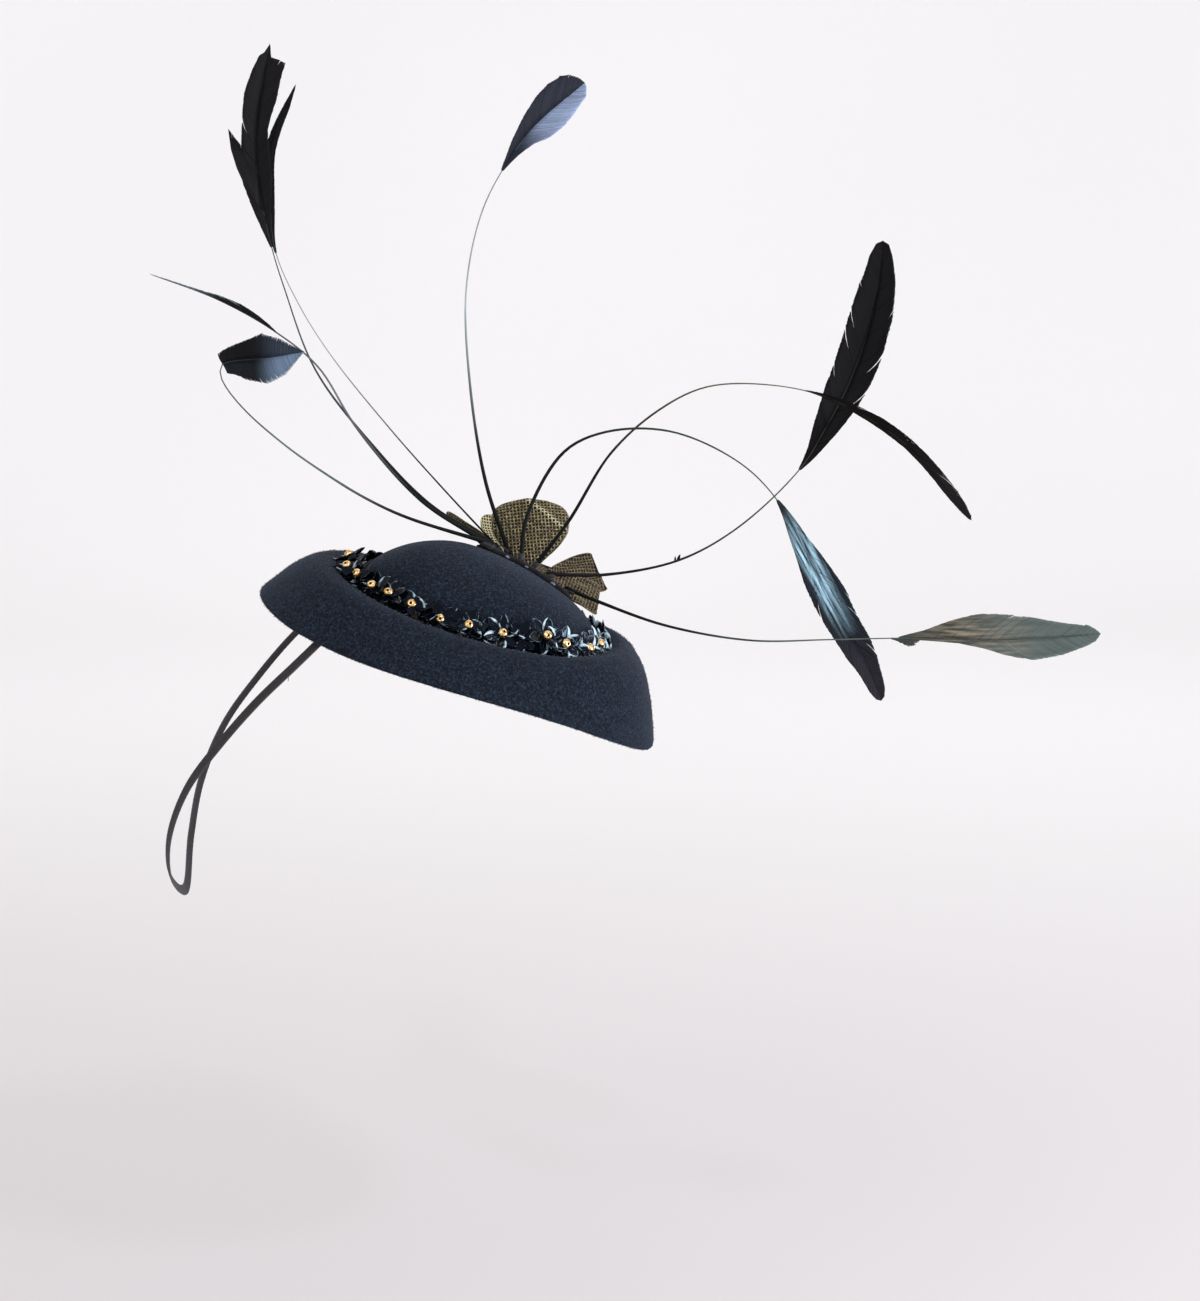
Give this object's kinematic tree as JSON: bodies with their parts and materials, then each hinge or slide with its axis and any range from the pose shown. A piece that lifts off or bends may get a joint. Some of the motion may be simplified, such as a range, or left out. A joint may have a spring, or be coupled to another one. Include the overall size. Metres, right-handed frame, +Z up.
{
  "type": "pillbox hat",
  "caption": "Small oval felt cocktail hat with a domed crown, sequin flower trim, a mesh flower, stripped feathers and a back elastic.",
  "frame": {"origin": "middle of the rim opening, where the hat sits on the head", "axes": "+X to the wearer's front, +Y to the wearer's left, +Z up; the hat is tipped 22 degrees nose down"},
  "size_m": [0.3699, 0.136, 0.3394],
  "materials": {
    "felt": "wool felt",
    "sequin": "glossy",
    "binding": "matt woven tape",
    "mesh_cloth": "metallic thread mesh",
    "feather": "sheen",
    "elastic": "woven elastic"
  },
  "bodies": {
    "root": {"side_band": "felt", "crown": "felt", "trim_flower_01": "sequin", "trim_flower_02": "sequin", "trim_flower_03": "sequin", "trim_flower_04": "sequin", "trim_flower_05": "sequin", "trim_flower_06": "sequin", "trim_flower_07": "sequin", "trim_flower_08": "sequin", "trim_flower_09": "sequin", "trim_flower_10": "sequin", "trim_flower_11": "sequin", "trim_flower_12": "sequin", "trim_flower_13": "sequin", "trim_flower_14": "sequin", "trim_flower_15": "sequin", "trim_flower_16": "sequin", "trim_flower_17": "sequin", "trim_flower_18": "sequin", "trim_flower_19": "sequin", "trim_flower_20": "sequin", "trim_flower_21": "sequin", "trim_flower_22": "sequin", "trim_flower_23": "sequin", "trim_flower_24": "sequin", "quill_binding": "binding", "mesh_flower_base": "binding", "mesh_petal_1": "mesh_cloth", "mesh_petal_2": "mesh_cloth", "mesh_petal_3": "mesh_cloth", "mesh_petal_4": "mesh_cloth", "mesh_petal_5": "mesh_cloth", "mesh_petal_6": "mesh_cloth", "feather_tall_left": "feather", "feather_tall_left_thin": "feather", "feather_edge_left": "feather", "feather_curled_left": "feather", "feather_top": "feather", "feather_arch": "feather", "feather_high_arch": "feather", "feather_sweep": "feather", "feather_low": "feather", "elastic_strap": "elastic"}
  },
  "joints": []
}
